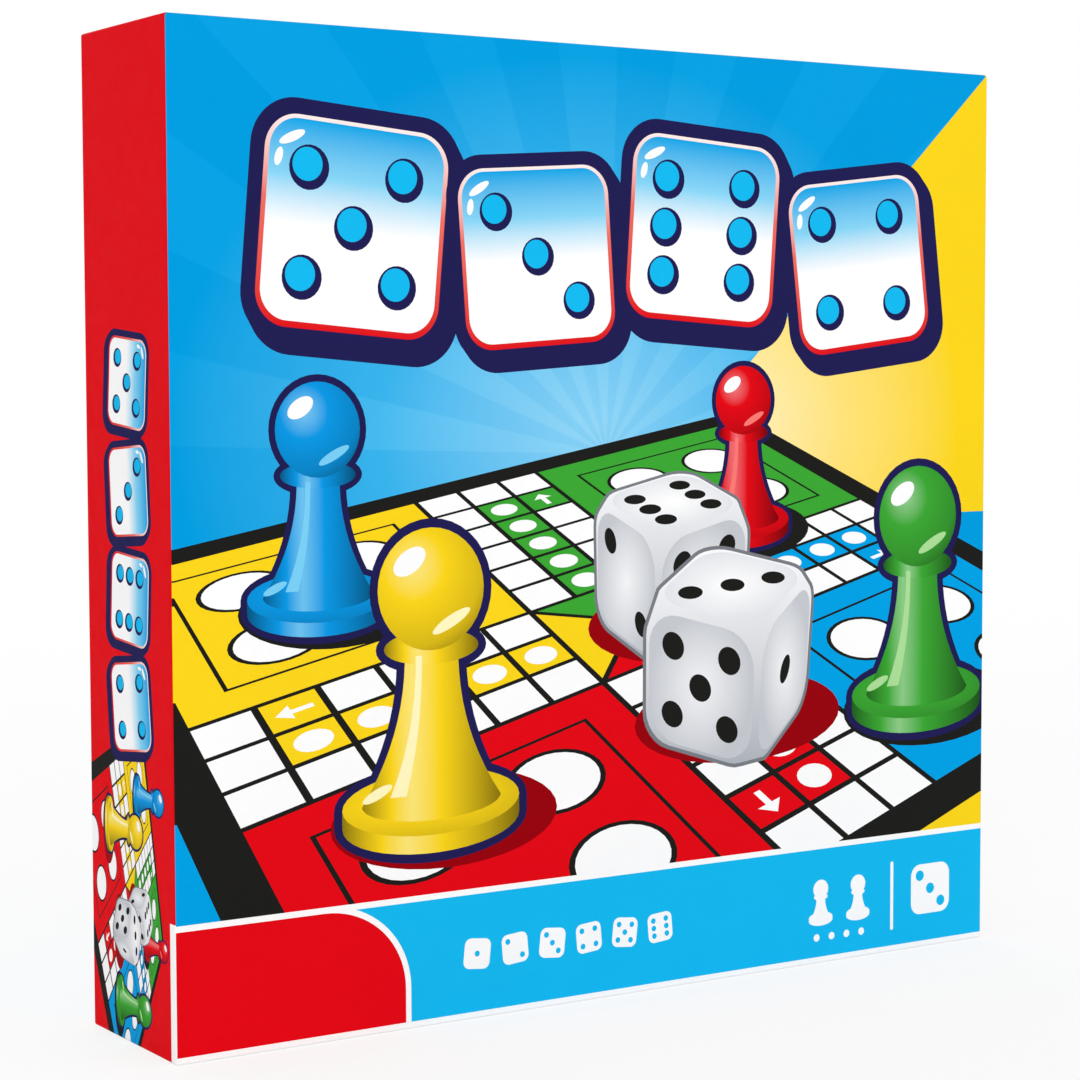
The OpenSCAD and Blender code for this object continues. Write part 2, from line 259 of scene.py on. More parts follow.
def embossed(name, rgb):
    """Backing paper embossed with a fine leather grain."""
    s = Shader(name, spec=0.35)
    cells = s.new("TexVoronoi", feature="DISTANCE_TO_EDGE")
    cells.inputs["Scale"].default_value = 900
    s.link(s.here, cells.inputs["Vector"])
    s.paint(lin(rgb), 0.25, 120)
    s.rough(0.5, 0.68)
    s.bump(s.spread(cells.outputs[0], 0, 1, 0, 0.25), 0.35, 0.0002)
    return s.mat


def plastic(name, rgb):
    """Moulded gloss plastic with a slight orange peel."""
    s = Shader(name, spec=0.5)
    s.paint(lin(rgb), 0.02, 90)
    s.rough(0.16, 0.26, 300)
    s.bump(s.math("ADD", s.noise(160, 2), s.math("MULTIPLY", s.noise(1800, 2), 0.25)), 0.06, 0.0004)
    return s.mat


def formed_sheet(name, rgb):
    """Thermoformed sheet: satin, with slow waves where it was drawn over the mould."""
    s = Shader(name, spec=0.4)
    s.paint(lin(rgb), 0.015, 12)
    s.rough(0.3, 0.38, 30)
    s.bump(s.math("ADD", s.noise(9, 1), s.math("MULTIPLY", s.noise(40, 2), 0.12)), 0.12, 0.002)
    return s.mat


# ---------------------------------------------------------------- flat artwork
class Art:
    """Flat shapes in painter's order, drawn in nested frames, in millimetres."""

    def __init__(self, items=None, m=None):
        self.items = [] if items is None else items
        self.m = np.eye(3) if m is None else m

    def at(self, x, y, turn=0, k=1):
        """A frame inside this one: moved to (x, y), turned by degrees and scaled by k."""
        c, s = k * math.cos(math.radians(turn)), k * math.sin(math.radians(turn))
        return Art(self.items, self.m @ np.array([[c, -s, x], [s, c, y], [0, 0, 1]]))

    def add(self, pts, name, grad=(0, 0, 1, 1)):
        """A filled outline; grad is the centre and the half sizes that its ink's shading is laid out on."""
        p = np.c_[np.array(pts, float), np.ones(len(pts))] @ self.m.T
        x, y = p[:, 0], p[:, 1]
        if (x * np.roll(y, -1) - y * np.roll(x, -1)).sum() < 0:
            p = p[::-1]
        cx, cy, rx, ry = grad
        g = np.array([[1 / rx, 0, -cx / rx], [0, 1 / ry, -cy / ry]]) @ np.linalg.inv(self.m)
        self.items.append((p[:, :2], name, g))

    def disc(self, x, y, rx, name, ry=None, turn=0, n=36, grad=None):
        ry = ry or rx
        c, s = math.cos(math.radians(turn)), math.sin(math.radians(turn))
        ring = [(rx * math.cos(2 * math.pi * i / n), ry * math.sin(2 * math.pi * i / n)) for i in range(n)]
        self.add([(x + c * u - s * v, y + s * u + c * v) for u, v in ring], name, grad or (x, y, rx, ry))

    def box(self, x, y, w, h, name, r=0.0, grad=None, n=6):
        self.add(round_box(x, y, w, h, r, n), name, grad or (x, y, w / 2, h / 2))


def round_box(x, y, w, h, r, n=6):
    if r <= 0:
        return [(x + i * w / 2, y + j * h / 2) for i, j in ((-1, -1), (1, -1), (1, 1), (-1, 1))]
    pts = []
    for k, (i, j) in enumerate(((1, 1), (-1, 1), (-1, -1), (1, -1))):
        for a in range(n + 1):
            t = math.radians(90 * (k + a / n))
            pts.append((x + i * (w / 2 - r) + r * math.cos(t), y + j * (h / 2 - r) + r * math.sin(t)))
    return pts


PIPS = {1: [(0, 0)], 2: [(-1, 1), (1, -1)], 3: [(-1, 1), (0, 0), (1, -1)],
        4: [(-1, -1), (1, -1), (1, 1), (-1, 1)], 5: [(-1, -1), (1, -1), (1, 1), (-1, 1), (0, 0)],
        6: [(-1, -1), (1, -1), (1, 1), (-1, 1), (-1, 0), (1, 0)]}
CORNERS = ["red", "yellow", "green", "blue"]
CELLS, YARD = 15, 6
ARROW = [(6.5, 1.2), (6.72, 1.45), (6.56, 1.45), (6.56, 1.8), (6.44, 1.8), (6.44, 1.45), (6.28, 1.45)]


def board(a, put=lambda u, v: (u, v), line=0.05, edge=0.5):
    """Traditional cross-and-circle board in cells of 1, with a yard of 6 cells in each corner.

    put maps a point in cells into a, line is half a grid line's width, and edge the black border's width."""

    def shape(pts, name):
        a.add([put(*p) for p in pts], name)

    def spin(p, turn):
        x, y = p
        for _ in range(turn):
            x, y = y, CELLS - x
        return x, y

    def cell(x0, y0, x1, y1, name, turn, g=line):
        corners = ((x0 + g, y0 + g), (x1 - g, y0 + g), (x1 - g, y1 - g), (x0 + g, y1 - g))
        shape([spin(p, turn) for p in corners], name)

    def spot(x, y, r, name, turn, n=28):
        shape([spin((x + r * math.cos(2 * math.pi * i / n), y + r * math.sin(2 * math.pi * i / n)), turn)
               for i in range(n)], name)

    far = CELLS + edge
    shape([(-edge, -edge), (far, -edge), (far, far), (-edge, far)], "black")
    for turn, hue in enumerate(CORNERS):
        cell(0, 0, YARD, YARD, hue, turn)
        cell(0.75, 0.75, 5.25, 5.25, "black", turn, 0)
        cell(0.75, 0.75, 5.25, 5.25, hue, turn, 0.07)
        for x, y in ((1.9, 1.9), (4.1, 1.9), (4.1, 4.1), (1.9, 4.1)):
            spot(x, y, 0.8, "black", turn)
            spot(x, y, 0.71, "white", turn)
        for i in range(3):
            for j in range(YARD):
                home = i == 1 and j > 0 or (i, j) == (0, 1)
                cell(YARD + i, j, YARD + 1 + i, j + 1, hue if home else "white", turn)
                if i == 1 and j > 0:
                    spot(CELLS / 2, j + 0.5, 0.3, "white", turn, 20)
        shape([spin(p, turn) for p in ARROW], "white")
        goal = ((YARD + 2.4 * line, YARD + line), (CELLS - YARD - 2.4 * line, YARD + line),
                (CELLS / 2, CELLS / 2 - 1.4 * line))
        shape([spin(p, turn) for p in goal], hue)


def pips(a, n, pitch, r, name):
    for x, y in PIPS[n]:
        a.disc(x * pitch, y * pitch, r, name, n=24)


def tile(a, n, s=1.0):
    """Tile with n pips, shaded from blue to white, in a thick outline with a drop to the right."""
    a = a.at(0, 0, k=s)
    for drop in (2, 1, 0):
        a.box(0.9 * drop, -1.3 * drop, 56, 56, "navy", 11.5, n=12)
    a.box(0, 0, 48.6, 48.6, "rim", 8.3, n=12)
    a.box(0, 0.3, 46.2, 46.2, "tile", 7.2, n=12)
    pips(a, n, 12.6, 5.2, "navy")
    pips(a.at(-0.5, 0.7), n, 12.6, 3.9, "cyan")
    a.disc(-17.5, 19, 3.6, "white", 1.1, turn=28, n=20)
    a.disc(-20.6, 14.2, 1.0, "white", 2.2, turn=-12, n=16)


def pawn(a, hue, outline="navy", plain=False):
    """Classic turned pawn, one high, standing on (0, 0); plain is its outline alone."""
    def waist(t):
        return 0.093 + 0.15 * (1 - t) ** 2.2

    def body(g):
        side = [(waist(t) + g, 0.16 + 0.46 * t) for t in np.linspace(0, 1, 12)]
        arc = np.linspace(0.1, math.pi - 0.1, 14)
        foot = [(-(0.243 + g) * math.cos(t), 0.16 - (0.06 + g) * math.sin(t)) for t in arc]
        return foot + side + [(-x, y) for x, y in side[::-1]]

    def base(g):
        arc = np.linspace(0, math.pi, 20)
        low = [(-(0.31 + g) * math.cos(t), 0.10 - (0.10 + g) * math.sin(t)) for t in arc]
        return low + [((0.31 + g) * math.cos(t), 0.155 + (0.10 + g) * math.sin(t)) for t in arc]

    for g, tint in ((0.028, outline), (0.0, None)):
        a.add(base(g), tint or hue + "_body", (0, 0, 0.31, 1))
        if not g:
            a.disc(0, 0.155, 0.31, hue + "_ball", 0.10, grad=(-0.05, 0.17, 0.5, 0.16))
        a.add(body(g), tint or hue + "_body", (0, 0, 0.25, 1))
        a.disc(0, 0.625, 0.165 + g, tint or hue + "_body", 0.052 + g, grad=(0, 0, 0.165, 1))
        a.disc(0, 0.80, 0.185 + g, tint or hue + "_ball", grad=(-0.06, 0.87, 0.30, 0.30))
        if plain:
            return
    glint = hue + "_light"
    streak = [(-0.60 * waist(t), 0.18 + 0.42 * t) for t in np.linspace(0, 1, 8)]
    a.add(streak + [(x * 0.62, y) for x, y in streak[::-1]], glint)
    a.disc(-0.075, 0.885, 0.062, "white", 0.035, turn=32, n=24)
    a.disc(-0.19, 0.195, 0.055, glint, 0.016, turn=24, n=20)
    a.disc(0.07, 0.70, 0.075, glint, 0.018, turn=28, n=20)


class View:
    """Perspective of a level board of side 1 whose centre is drawn at (x, y)."""

    def __init__(self, turn, elevation, distance, scale, x, y):
        self.turn, self.el = math.radians(turn), math.radians(elevation)
        self.distance, self.scale, self.x, self.y = distance, scale, x, y

    def flat(self, X, Y, Z=0.0):
        """A point right, away and up of the board's centre."""
        c, s = math.cos(self.el), math.sin(self.el)
        k = self.scale / (self.distance + Y * c - Z * s)
        return self.x + X * k, self.y + (Y * s + Z * c) * k

    def cell(self, u, v):
        """A point of the board, in cells."""
        u, v = u / CELLS - 0.5, v / CELLS - 0.5
        c, s = math.cos(self.turn), math.sin(self.turn)
        return self.flat(c * u - s * v, s * u + c * v)


def drawn_die(a, view, X, Y, turn, size, shown):
    """Drawn die on the board with its top, left and right faces."""
    c, s = math.cos(math.radians(turn)), math.sin(math.radians(turn))
    h = size / 2

    def at(p):
        x, y, z = p
        return view.flat(X + c * x - s * y, Y + s * x + c * y, z + h)

    faces = [(((0, 0, h), (1, 0, 0), (0, 1, 0)), "die_top"),
             (((-h, 0, 0), (0, -1, 0), (0, 0, 1)), "die_side"),
             (((0, -h, 0), (1, 0, 0), (0, 0, 1)), "die_side")]
    drawn, hull = [], []
    # each face is drawn inside the die's rounded outline, which is the hull of slightly larger faces
    for (o, e, f), name in faces:
        def place(u, v, o=np.array(o), e=np.array(e), f=np.array(f)):
            return at(o * 0.985 + e * u * h + f * v * h)
        ring = [place(u, v) for u, v in round_box(0, 0, 1.8, 1.8, 0.5)]
        hull += [place(u, v) for u, v in round_box(0, 0, 1.9, 1.9, 0.42)]
        drawn.append((ring, name, place))
    edge = [hull[i] for i in convex_hull_2d([Vector(p) for p in hull])]
    mid, reach = np.mean(edge, 0), np.ptp(np.array(edge), 0) / 2
    a.add([mid + (np.array(p) - mid) * 1.035 for p in edge], "grey")
    a.add(edge, "die_edge", (*mid, *reach))
    for (ring, name, place), n in zip(drawn, shown):
        centre, span = np.mean(ring, 0), np.ptp(np.array(ring), 0) / 2
        a.add(ring, name, (*centre, *span))
        for x, y in PIPS[n]:
            a.add([place(x * 0.48 + 0.19 * math.cos(t), y * 0.48 + 0.19 * math.sin(t))
                   for t in np.linspace(0, 2 * math.pi, 21)[:-1]], "black")


def picture(a, view):
    """Board with pawns and dice on it, drawn from the back forward.

    Each has its place, its size, and its hue or its turn and faces."""
    board(a, view.cell, line=0.055, edge=0.62)
    drawn = [("pawn", 0.17, 0.23, 0.235, "red"), ("pawn", -0.40, 0.06, 0.27, "blue"),
             ("pawn", 0.345, -0.25, 0.27, "green"), ("pawn", -0.20, -0.36, 0.27, "yellow"),
             ("die", 0.05, -0.02, 0.145, 33, (6, 2, 4)), ("die", 0.11, -0.235, 0.145, 58, (3, 5, 1))]
    for kind, X, Y, size, *rest in sorted(drawn, key=lambda d: -d[2]):
        x, y = view.flat(X, Y)
        k = view.scale / (view.distance + Y * math.cos(view.el)) * size
        if kind == "pawn":
            on_red = -0.3 < X < 0.3 and Y < 0.1
            a.disc(x + 0.05 * k, y + 0.02 * k, 0.40 * k, "red_dark" if on_red else "black", 0.15 * k)
            pawn(a.at(x, y - 0.08 * k, k=k), rest[0])
        else:
            a.disc(x + 0.1 * k, y + 0.02 * k, 0.85 * k, "red_dark", 0.3 * k)
            drawn_die(a, view, X, Y, rest[0], size, rest[1])


# ---------------------------------------------------------------- printed sheets
SNAP = 2e-3  # a point this near to a side of its rectangle, in millimetres, lies on it
MERGE = 0.02  # cuts across an edge closer than this, in millimetres, are one


def partition(dom, items, extra=()):
    """Cuts a rectangle into triangles, each belonging to the topmost item on it.

    Returns the points and the triangles as (i, j, k, item)."""
    x0, x1, y0, y1 = dom
    verts = [(x0, y0), (x1, y0), (x1, y1), (x0, y1)]
    faces = [[0, 1, 2, 3]]
    for pts, _, _ in items:
        faces.append(list(range(len(verts), len(verts) + len(pts))))
        verts.extend(map(tuple, pts))
    verts.extend(extra)
    out, _, tris, _, _, origin = delaunay_2d_cdt([Vector(v) for v in verts], [], faces, 1, 1e-4, True)
    pts = [[v.x, v.y] for v in out]
    for p in pts:
        for i, lo, hi in ((0, x0, x1), (1, y0, y1)):
            for limit in (lo, hi):
                if abs(p[i] - limit) < SNAP:
                    p[i] = limit
    kept = [(*t, max(ids) - 1) for t, ids in zip(tris, origin) if 0 in ids]
    return pts, kept


# axis that a side of a rectangle (x0, x1, y0, y1) lies across, and its place in that list
SIDE_OF = {"x0": (0, 0), "x1": (0, 1), "y0": (1, 2), "y1": (1, 3)}


def border(dom, pts, tris, side):
    """Sorted stretches (low, high, item) of one side of the rectangle."""
    axis, which = SIDE_OF[side]
    found = []
    for *t, item in tris:
        on = [i for i in t if pts[i][axis] == dom[which]]
        if len(on) == 2:
            lo, hi = sorted(pts[i][1 - axis] for i in on)
            if hi - lo > 1e-9:
                found.append((lo, hi, item))
    return sorted(found)


class Builder:
    """Collects polygons with an ink, motif coordinates and a smooth flag, then makes one mesh."""

    def __init__(self):
        self.index, self.verts, self.faces = {}, [], []

    def vertex(self, p):
        key = tuple(round(float(c), 3) for c in p)
        if key not in self.index:
            self.index[key] = len(self.verts)
            self.verts.append([float(c) for c in p])
        return self.index[key]

    def face(self, pts, name, uvs=None, smooth=False):
        uvs = uvs or [(0, 0)] * len(pts)
        ids, coords = [], []
        for p, uv in zip(pts, uvs):
            i = self.vertex(p)
            if i not in ids:
                ids.append(i)
                coords.append(uv)
        if len(ids) > 2:
            self.faces.append((ids, name, coords, smooth))

    def mesh(self, name, place):
        m = bpy.data.meshes.new(name)
        m.from_pydata([[c * MM for c in place(*v)] for v in self.verts], [], [f[0] for f in self.faces])
        names = sorted({f[1] for f in self.faces})
        for n in names:
            m.materials.append(ink(n))
        layer = m.uv_layers.new(name="motif")
        for poly, (ids, n, coords, smooth) in zip(m.polygons, self.faces):
            poly.material_index = names.index(n)
            poly.use_smooth = smooth
            for li, uv in zip(poly.loop_indices, coords):
                layer.data[li].uv = uv
        b = bmesh.new()
        b.from_mesh(m)
        bmesh.ops.recalc_face_normals(b, faces=b.faces)
        b.to_mesh(m)
        b.free()
        o = bpy.data.objects.new(name, m)
        bpy.context.scene.collection.objects.link(o)
        return o


def uv_of(item, p):
    g = item[2]
    return float(g[0] @ (p[0], p[1], 1)), float(g[1] @ (p[0], p[1], 1))


def lay(b, pts, tris, items, put):
    for *t, k in tris:
        b.face([put(*pts[i]) for i in t], items[k][1], [uv_of(items[k], pts[i]) for i in t])


STEPS = 4  # facets round a folded edge
# Two sheets that meet along a folded edge, each with its side of the rectangle and the side's direction
EDGES = [("face", "x0", 1, "left", "x1", 1), ("face", "x1", 1, "right", "x0", 1),
         ("face", "y1", 1, "top", "y0", 1), ("face", "y0", 1, "bottom", "y1", 1),
         ("left", "y1", -1, "top", "x0", 1), ("right", "y1", 1, "top", "x1", 1),
         ("left", "y0", -1, "bottom", "x0", -1), ("right", "y0", 1, "bottom", "x1", -1)]
NORMAL = {"face": (0, 0, -1), "left": (-1, 0, 0), "right": (1, 0, 0), "top": (0, 1, 0), "bottom": (0, -1, 0)}


class Wrap:
    """Closed sheet over a box half: printed face and sides with rounded edges, over the rim and turned in.

    Local frame: p across, q up, d from the face towards the rim."""

    def __init__(self, W, H, D, art, wall=2.0, paper=0.25, turn_in=15.0, R=0.7, lip=0.4):
        w, h = W / 2, H / 2
        self.w, self.h, self.D, self.R = w, h, D, R
        self.wall, self.paper, self.turn_in, self.lip = wall, paper, turn_in, lip
        self.dom = {"face": (-w + R, w - R, -h + R, h - R),
                    "left": (R - D, -R, -h + R, h - R), "right": (R, D - R, -h + R, h - R),
                    "top": (-w + R, w - R, R, D - R), "bottom": (-w + R, w - R, R - D, -R)}
        self.put = {"face": lambda s, t: (s, t, 0),
                    "left": lambda s, t: (-w, t, -s), "right": lambda s, t: (w, t, s),
                    "top": lambda s, t: (s, h, t), "bottom": lambda s, t: (s, -h, -t)}
        self.items = {f: art[f].items for f in self.dom}
        self.cut = {f: partition(self.dom[f], self.items[f]) for f in self.dom}
        self.match_edges()
        self.b = Builder()
        for f in self.dom:
            lay(self.b, *self.cut[f], self.items[f], self.put[f])
        self.angles = [math.pi / 2 * i / STEPS for i in range(STEPS + 1)]
        self.fold_edges()
        self.round_corners()
        self.turn_over_rim()

    def stretches(self, f, side):
        return border(self.dom[f], *self.cut[f], side)

    def on_side(self, f, side, c):
        """The point at c along one side of a sheet."""
        axis, which = SIDE_OF[side]
        return (self.dom[f][which], c) if axis == 0 else (c, self.dom[f][which])

    def match_edges(self):
        """Cuts the two sheets of each folded edge at the same places along it."""
        extra = {f: [] for f in self.dom}
        common = []
        for fa, sa, ka, fb, sb, kb in EDGES:
            cs = []
            for f, s, k in ((fa, sa, ka), (fb, sb, kb)):
                for lo, hi, _ in self.stretches(f, s):
                    cs += [k * lo, k * hi]
            merged = []
            for c in sorted(cs):
                if not merged or c - merged[-1] > MERGE:
                    merged.append(c)
            common.append(merged)
            for f, s, k in ((fa, sa, ka), (fb, sb, kb)):
                extra[f] += [self.on_side(f, s, k * c) for c in merged]
        self.cut = {f: partition(self.dom[f], self.items[f], extra[f]) for f in self.dom}
        for (fa, sa, ka, fb, sb, kb), merged in zip(EDGES, common):
            line = np.array(merged)
            for f, s, k in ((fa, sa, ka), (fb, sb, kb)):
                axis, which = SIDE_OF[s]
                for p in self.cut[f][0]:
                    if p[axis] == self.dom[f][which]:
                        p[1 - axis] = k * float(line[np.abs(line - k * p[1 - axis]).argmin()])

    def fold_edges(self):
        """Rounds the edges: the face's print runs right round its upper and lower one, and halfway else."""
        for fa, sa, ka, fb, sb, kb in EDGES:
            na, nb = np.array(NORMAL[fa]), np.array(NORMAL[fb])
            share = STEPS if fa == "face" and fb in ("top", "bottom") else STEPS // 2
            self.fold(fa, sa, na, nb, self.angles[:share + 1])
            self.fold(fb, sb, nb, na, self.angles[:STEPS - share + 1])

    def fold(self, f, side, mine, other, turns):
        """Carries the print of one sheet round an edge, from its own direction towards the other's."""
        for lo, hi, item in self.stretches(f, side):
            ends = [self.on_side(f, side, lo), self.on_side(f, side, hi)]
            uv0, uv1 = (uv_of(self.items[f][item], e) for e in ends)
            c0, c1 = (np.array(self.put[f](*e)) - self.R * mine for e in ends)
            for t0, t1 in zip(turns, turns[1:]):
                v0, v1 = (self.R * (mine * math.cos(t) + other * math.sin(t)) for t in (t0, t1))
                self.b.face([c0 + v0, c1 + v0, c1 + v1, c0 + v1], self.items[f][item][1],
                            [uv0, uv1, uv1, uv0], True)

    def round_corners(self):
        """Ball corners where the face and two sides meet."""
        for sx, side in ((-1, "left"), (1, "right")):
            for sy, cap in ((-1, "bottom"), (1, "top")):
                self.round_corner(sx, side, sy, cap)

    def round_corner(self, sx, side, sy, cap):
        w, h, R = self.w, self.h, self.R
        centre = np.array((sx * (w - R), sy * (h - R), R))
        na, nb, nc = (np.array(NORMAL[f]) for f in ("face", side, cap))

        def ball(i, j):
            t, s = math.pi / 2 * i / STEPS, (math.pi / 2 * j / i if i else 0)
            return centre + R * (math.cos(t) * na + math.sin(t) * (math.cos(s) * nb + math.sin(s) * nc))

        edge = self.stretches("face", "x0" if sx < 0 else "x1")
        front = self.items["face"][edge[0 if sy < 0 else -1][2]]
        edge = self.stretches(side, "y0" if sy < 0 else "y1")
        flank = self.items[side][edge[-1 if sx < 0 else 0][2]]
        for i in range(STEPS):
            if i < STEPS // 2:
                item, at = front, (sx * (w - R), sy * (h - R))
            else:
                item, at = flank, (sx * R, sy * (h - R))
            uv = [uv_of(item, at)] * 3
            for j in range(i + 1):
                self.b.face([ball(i, j), ball(i + 1, j), ball(i + 1, j + 1)], item[1], uv, True)
                if j < i:
                    self.b.face([ball(i, j), ball(i + 1, j + 1), ball(i, j + 1)], item[1], uv, True)

    def rim_loop(self):
        """Points round the rim as (sheet, place along it, ink), with the corners as (sheet+, step, ink)."""
        loop = []
        for f, side, sign in (("top", "y1", 1), ("right", "x1", -1), ("bottom", "y0", -1), ("left", "x0", 1)):
            stretches = self.stretches(f, side)[::sign]
            start, end = (0, 1) if sign > 0 else (1, 0)
            loop += [(f, st[start], self.items[f][st[2]][1]) for st in stretches]
            last = stretches[-1]
            print_ink = self.items[f][last[2]][1]
            loop += [(f, last[end], print_ink)] + [(f + "+", i, print_ink) for i in range(1, STEPS)]
        return loop

    def ring(self, loop, e, d):
        """The rim's points at e inwards from the outside and d from the face."""
        we, he, r = self.w - max(e, self.R), self.h - max(e, self.R), max(self.R - e, 0)
        out = []
        for f, c, _ in loop:
            if f in ("top", "bottom"):
                out.append((min(max(c, -we), we), (he + r) * (1 if f == "top" else -1), d))
            elif f in ("left", "right"):
                out.append(((we + r) * (1 if f == "right" else -1), min(max(c, -he), he), d))
            else:
                start = {"top+": 90, "right+": 0, "bottom+": -90, "left+": 180}[f]
                t = math.radians(start - 90 * c / STEPS)
                sx, sy = {"top+": (1, 1), "right+": (1, -1), "bottom+": (-1, -1), "left+": (-1, 1)}[f]
                out.append((sx * we + r * math.cos(t), sy * he + r * math.sin(t), d))
        return out

    def turn_over_rim(self):
        """Runs the print over the rounded rim and down the inside, then closes the sheet underneath."""
        D, R, wall, lip, paper = self.D, self.R, self.wall, self.lip, self.paper
        profile = [(R - R * math.cos(t), D - R + R * math.sin(t), True) for t in self.angles]
        for t in (0, math.pi / 4, math.pi / 2):
            profile.append((wall - lip + lip * math.sin(t), D - lip + lip * math.cos(t), True))
        foot = D - self.turn_in
        profile.append((wall, foot, False))
        under = [(wall - paper, foot), (wall - paper, D - paper), (paper, D - paper), (paper, paper)]
        levels = [(e, d, "print", smooth) for e, d, smooth in profile]
        levels += [(e, d, "bare", False) for e, d in under]
        loop = self.rim_loop()
        previous = self.ring(loop, *levels[0][:2])
        for (e, d, kind, smooth), before in zip(levels[1:], levels):
            now = self.ring(loop, e, d)
            rounded = smooth and before[3] and abs(d - D) > 1e-6
            for i in range(len(loop)):
                j = (i + 1) % len(loop)
                shade = loop[i][2] if kind == "print" else "backing_side"
                self.b.face([previous[i], previous[j], now[j], now[i]], shade, smooth=rounded)
            previous = now
        self.b.face(previous, "backing_side")


def printed_slab(name, dom, art, place, thick):
    """Flat sheet with artwork on the side d = 0 and bare paper on the other."""
    pts, tris = partition(dom, art.items)
    b = Builder()
    lay(b, pts, tris, art.items, lambda s, t: (s, t, 0))
    x0, x1, y0, y1 = dom
    rim = [(c, y0) for c, _, _ in border(dom, pts, tris, "y0")]
    rim += [(x1, c) for c, _, _ in border(dom, pts, tris, "x1")]
    rim += [(c, y1) for _, c, _ in border(dom, pts, tris, "y1")[::-1]]
    rim += [(x0, c) for _, c, _ in border(dom, pts, tris, "x0")[::-1]]
    for p, q in zip(rim, rim[1:] + rim[:1]):
        b.face([(*p, 0), (*q, 0), (*q, thick), (*p, thick)], "backing_side")
    b.face([(*p, thick) for p in rim], "backing_side")
    return b.mesh(name, place)


# ---------------------------------------------------------------- lid artwork
# Pips and lean of the four tiles in a row
ROW = ((5, -5), (3, 4), (6, -4), (4, 6))


def face_art():
    """Face of the lid, in millimetres from the middle of its foot: sky, board picture, tiles and band."""
    art = Art()
    a = art.at(0, -BOX_H / 2)
    bright = (-8, 158, 165, 130)
    a.box(0, 130, 300, 300, "sky", grad=bright)
    x, y, far = -4, 150, 400
    for i in range(9):
        ray = [math.radians(8 + 20 * i + k) for k in (0, 10)]
        a.add([(x, y)] + [(x + far * math.cos(t), y + far * math.sin(t)) for t in ray], "sky_ray", bright)
    a.add([(140, 266), (36, 166), (18, 130), (140, 130)], "sun", (44, 158, 120, 120))
    a.add([(-140, 20), (140, 20), (140, 112), (-140, 112)], "blue")
    a.add([(-10, 20), (140, 20), (140, 90), (20, 90)], "yellow")
    a.add([(-128, 20), (-96, 20), (-80, 60), (-104, 58)], "yellow")
    picture(a, View(30, 26, 1.5, 380, 5, 104))
    for x, y, turn, s, n in ((-82, 209, -5, 1.10, 5), (-26, 203, 4, 0.98, 3),
                             (29, 211, -4, 1.04, 6), (85, 203, 7, 1.0, 4)):
        tile(a.at(x, y, turn), n, s)
    band(a)
    return art


def band(a):
    """Plain colour band along the foot with keylines and small generic signs."""
    top, keyline = 33.6, 1.6
    quarter = np.linspace(0, math.pi / 2, 20)
    for g, name in ((keyline, "white"), (0, "cyan")):
        a.add([(-140, -5), (140, -5), (140, top + g), (-140, top + g)], name)
    for g, name in ((keyline, "white"), (0, "red")):
        arc = [(-92 + (24 + g) * math.cos(t), 11 + (22.6 + g) * math.sin(t)) for t in quarter]
        a.add([(-140, -5), (-68 + g, -5)] + arc + [(-140, top + g)], name)
    a.add([(-140, -5), (140, -5), (140, 1.9), (-140, 1.9)], "white")
    for i, n in enumerate(PIPS):
        d = a.at(-46 + 12 * i, 17.5, (-6, 5)[i % 2])
        d.box(0, 0, 8.2, 8.2, "white", 1.9)
        pips(d, n, 2.15, 0.8, "cyan")
    for x in (71.5, 85.5):
        pawn(a.at(x, 11.4, k=13), "white", "white", plain=True)
    for i in range(4):
        a.disc(70 + 5.6 * i, 7.6, 1.1, "white", n=16)
    a.box(98.5, 16.8, 1.1, 20.5, "white", 0.5)
    d = a.at(113.5, 17.5)
    d.box(0, 0, 15, 15, "white", 3.4)
    pips(d, 3, 4.1, 1.6, "cyan")


def plain_art(name):
    """A side in one ink, larger than any side of the box."""
    art = Art()
    art.box(0, 0, 600, 600, name)
    return art


def side_art(sign):
    """Tall side, 1 left and -1 right: red, with tiles over a small picture, to be read from the top down."""
    art = plain_art("red")
    a = art.at(-sign * BOX_D / 2, 0)
    turn = -90
    picture(a.at(0, -88, turn), View(30, 30, 1.5, 104, 4, 1))
    for i, (n, lean) in enumerate(ROW):
        tile(a.at(0.5, 40 - 27.5 * i, turn + lean), n, 0.47)
    if sign > 0:
        art.box(-1.9, 17 - BOX_H / 2, 2.4, 37, "white")
    return art


def top_art():
    """Long side at the top: red, with a row of tiles."""
    art = plain_art("red")
    for x, (n, lean) in zip((-42, -14, 14, 42), ROW):
        tile(art.at(x, BOX_D / 2, lean), n, 0.47)
    return art


lid_art = {"face": face_art(), "left": side_art(1), "right": side_art(-1),
           "top": top_art(), "bottom": plain_art("red")}
lid = Wrap(BOX_W, BOX_H, BOX_D, lid_art).b.mesh(
    "lid_printed_wrap", lambda p, q, d: (p, d - BOX_D / 2, BOX_H / 2 + q))
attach(lid, "lid")
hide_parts("lid_wrap")


def back_art():
    """Outside of the base: blue, with a plan of the board on a pale panel over four pawns."""
    art = Art()
    art.box(0, 0, 600, 600, "sky", grad=(0, 20, 190, 190))
    art.box(0, 14, 166, 166, "white", 6)
    board(art.at(-75, -61, k=10), line=0.06)
    for x, hue in ((-60, "red"), (-20, "yellow"), (20, "green"), (60, "blue")):
        pawn(art.at(x, -112, k=34), hue)
    return art


base_art = {f: plain_art("blue") for f in ("left", "right", "top", "bottom")}
base_art["face"] = back_art()
base = Wrap(BASE_W, BASE_H, BASE_D, base_art).b.mesh(
    "base_printed_wrap", lambda p, q, d: (-p, BOX_D / 2 - d, BOX_H / 2 + q))
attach(base, "base")
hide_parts("base_wrap")

